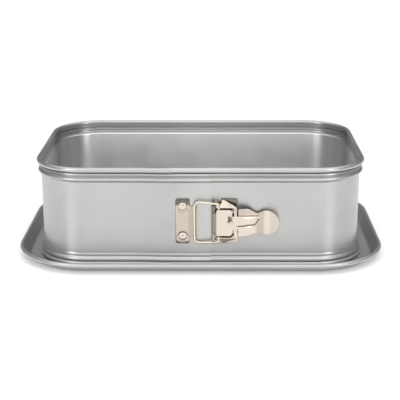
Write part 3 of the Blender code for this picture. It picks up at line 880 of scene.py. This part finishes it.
def metal(name, colour, roughness, grain, grain_size, drawn=0.0):
    """Satin metal: fine grain in relief, uneven gloss, faint stains and brighter worn edges.

    drawn is how far the rolling marks along the sheet stretch its highlights upwards.  A mesh
    attribute on the latch's plates darkens their colour: painted shade and painted dark reflections,
    with a little duller tone; other meshes have none and are not darkened.
    """
    made = bpy.data.materials.new(name)
    made.use_nodes = True
    tree = made.node_tree
    nodes, links = tree.nodes, tree.links
    shader = nodes["Principled BSDF"]
    shader.inputs["Metallic"].default_value = 1.0
    shader.inputs["Anisotropic"].default_value = drawn
    shader.inputs["Anisotropic Rotation"].default_value = 0.25
    along = nodes.new("ShaderNodeTangent")
    along.direction_type = "RADIAL"
    along.axis = "Z"
    links.new(along.outputs["Tangent"], shader.inputs["Tangent"])
    place = nodes.new("ShaderNodeTexCoord")

    def noise(scale, detail, stretch=(1, 1, 1)):
        mapping = nodes.new("ShaderNodeMapping")
        mapping.inputs["Scale"].default_value = stretch
        links.new(place.outputs["Object"], mapping.inputs["Vector"])
        pattern = nodes.new("ShaderNodeTexNoise")
        pattern.inputs["Scale"].default_value = scale
        pattern.inputs["Detail"].default_value = detail
        links.new(mapping.outputs["Vector"], pattern.inputs["Vector"])
        return pattern.outputs["Fac"]

    def spread(value, low, high, start=0.3, end=0.7):
        ranged = nodes.new("ShaderNodeMapRange")
        links.new(value, ranged.inputs["Value"])
        ranged.inputs["From Min"].default_value = start
        ranged.inputs["From Max"].default_value = end
        ranged.inputs["To Min"].default_value = low
        ranged.inputs["To Max"].default_value = high
        return ranged.outputs["Result"]

    stains = spread(noise(18, 3), 1 - SMUDGE / 2, 1 + SMUDGE / 2)
    fine = spread(noise(1 / grain_size, 1), 1 - grain * 0.12, 1 + grain * 0.12)
    curvature = nodes.new("ShaderNodeNewGeometry")
    worn = spread(curvature.outputs["Pointiness"], 1.0, 1 + WORN_EDGE, 0.51, 0.60)
    # The latch's painted shade: this attribute darkens the colour where shade and dark reflections
    # were painted onto the plates.
    tone_and_painted_shade = nodes.new("ShaderNodeAttribute")
    tone_and_painted_shade.attribute_name = "tone_and_painted_shade"
    painted_shade_factor = spread(tone_and_painted_shade.outputs["Fac"], 1, 0, 0, 1)
    tint = stains
    for factor in (fine, worn, painted_shade_factor):
        product = nodes.new("ShaderNodeMath")
        product.operation = "MULTIPLY"
        links.new(tint, product.inputs[0])
        links.new(factor, product.inputs[1])
        tint = product.outputs["Value"]
    base = nodes.new("ShaderNodeVectorMath")
    base.operation = "SCALE"
    base.inputs[0].default_value = colour
    links.new(tint, base.inputs["Scale"])
    links.new(base.outputs["Vector"], shader.inputs["Base Color"])

    gloss = spread(noise(45, 2), roughness * 0.9, roughness * 1.12)
    links.new(gloss, shader.inputs["Roughness"])

    relief = nodes.new("ShaderNodeBump")
    relief.inputs["Strength"].default_value = grain
    relief.inputs["Distance"].default_value = grain_size * 0.15
    links.new(noise(1 / grain_size, 1, (0.35, 0.35, 1)), relief.inputs["Height"])
    links.new(relief.outputs["Normal"], shader.inputs["Normal"])
    return made


def floor_finish():
    """Matt near-white."""
    made = bpy.data.materials.new("pale_floor")
    made.use_nodes = True
    shader = made.node_tree.nodes["Principled BSDF"]
    shader.inputs["Base Color"].default_value = (0.93, 0.93, 0.93, 1)
    shader.inputs["Roughness"].default_value = 0.55
    shader.inputs["Specular IOR Level"].default_value = 0.2
    shader.inputs["Emission Color"].default_value = (1, 1, 1, 1)
    shader.inputs["Emission Strength"].default_value = FLOOR_GLOW
    return made


# --- studio ---------------------------------------------------------------------------------

def build_floor():
    mesh = bmesh.new()
    bmesh.ops.create_grid(mesh, x_segments=1, y_segments=1, size=FLOOR_HALF)
    floor = add_object("studio_floor", mesh)
    floor.location.z = CAD_BOX[0][2] - FLOOR_GAP
    floor.data.materials.append(floor_finish())


def add_area(name, place, target, size, power):
    """A soft rectangular light at place, facing target."""
    light = bpy.data.lights.new(name, "AREA")
    light.shape = "RECTANGLE"
    light.size, light.size_y = size
    light.energy = power
    made = bpy.data.objects.new(name, light)
    made.location = place
    made.rotation_euler = (Vector(target) - Vector(place)).to_track_quat("-Z", "Y").to_euler()
    bpy.context.collection.objects.link(made)


def build_light():
    """The surrounding light and the three soft panels: one in front, one at each side."""
    world = bpy.context.scene.world or bpy.data.worlds.new("studio")
    bpy.context.scene.world = world
    world.use_nodes = True
    nodes, links = world.node_tree.nodes, world.node_tree.links
    backdrop = nodes["Background"]
    backdrop.inputs["Color"].default_value = (1, 1, 1, 1)
    direction = nodes.new("ShaderNodeTexCoord")
    parts = nodes.new("ShaderNodeSeparateXYZ")
    rise = nodes.new("ShaderNodeMapRange")
    rise.interpolation_type = "SMOOTHSTEP"
    rise.inputs["From Min"].default_value = DOME_START
    rise.inputs["From Max"].default_value = DOME_FULL
    rise.inputs["To Min"].default_value = HORIZON_LIGHT
    rise.inputs["To Max"].default_value = DOME_LIGHT
    links.new(direction.outputs["Generated"], parts.inputs["Vector"])
    links.new(parts.outputs["Z"], rise.inputs["Value"])
    links.new(rise.outputs["Result"], backdrop.inputs["Strength"])
    add_area("front", FRONT_PANEL, FRONT_PANEL_AIM, FRONT_PANEL_SIZE, FRONT_PANEL_POWER)
    across, along, up = SIDE_PANEL
    for side in (-1, 1):
        place = (side * across, along, up)
        add_area("side", place, SIDE_PANEL_AIM, SIDE_PANEL_SIZE, SIDE_PANEL_POWER)


def build_camera():
    lens = bpy.data.cameras.new("camera")
    lens.lens = CAMERA_LENS
    lens.sensor_width = 36
    camera = bpy.data.objects.new("camera", lens)
    camera.matrix_world = (
        Matrix.Translation(CAMERA_PLACE)
        @ Matrix.Rotation(math.radians(CAMERA_YAW), 4, "Z")
        @ Matrix.Rotation(math.radians(90 - CAMERA_PITCH), 4, "X")
        @ Matrix.Rotation(math.radians(CAMERA_ROLL), 4, "Z")
    )
    bpy.context.collection.objects.link(camera)
    bpy.context.scene.camera = camera


def main():
    bpy.context.scene.view_settings.view_transform = "Standard"
    band_steel = metal(
        "satin_steel_band", (0.49, 0.49, 0.485), 0.35, 0.04, STEEL_GRAIN, DRAWN_STEEL)
    # Lighter copy of the band steel for the wall's inner faces: painted light.
    lit_inside_steel = metal(
        "satin_steel_inside_painted_light", (0.70, 0.70, 0.695), 0.34, 0.03, STEEL_GRAIN, DRAWN_STEEL)
    tray_steel = metal("satin_steel_tray", (0.50, 0.50, 0.495), 0.34, 0.02, STEEL_GRAIN)
    nickel = metal("warm_nickel", (0.66, 0.585, 0.505), 0.18, 0.04, NICKEL_GRAIN)
    wire = metal("bright_wire", (0.70, 0.65, 0.53), 0.10, 0.03, NICKEL_GRAIN)
    build_band(band_steel, lit_inside_steel)
    build_tray(tray_steel)
    build_catch(nickel)
    build_bracket(nickel)
    build_lever(nickel)
    build_bail(wire)
    build_catch_rivets(nickel)
    for node in ("bracket_rivet_upper", "bracket_rivet_lower", "hinge_pin"):
        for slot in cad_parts[node].material_slots:
            slot.material = nickel
    build_floor()
    build_light()
    build_camera()


main()
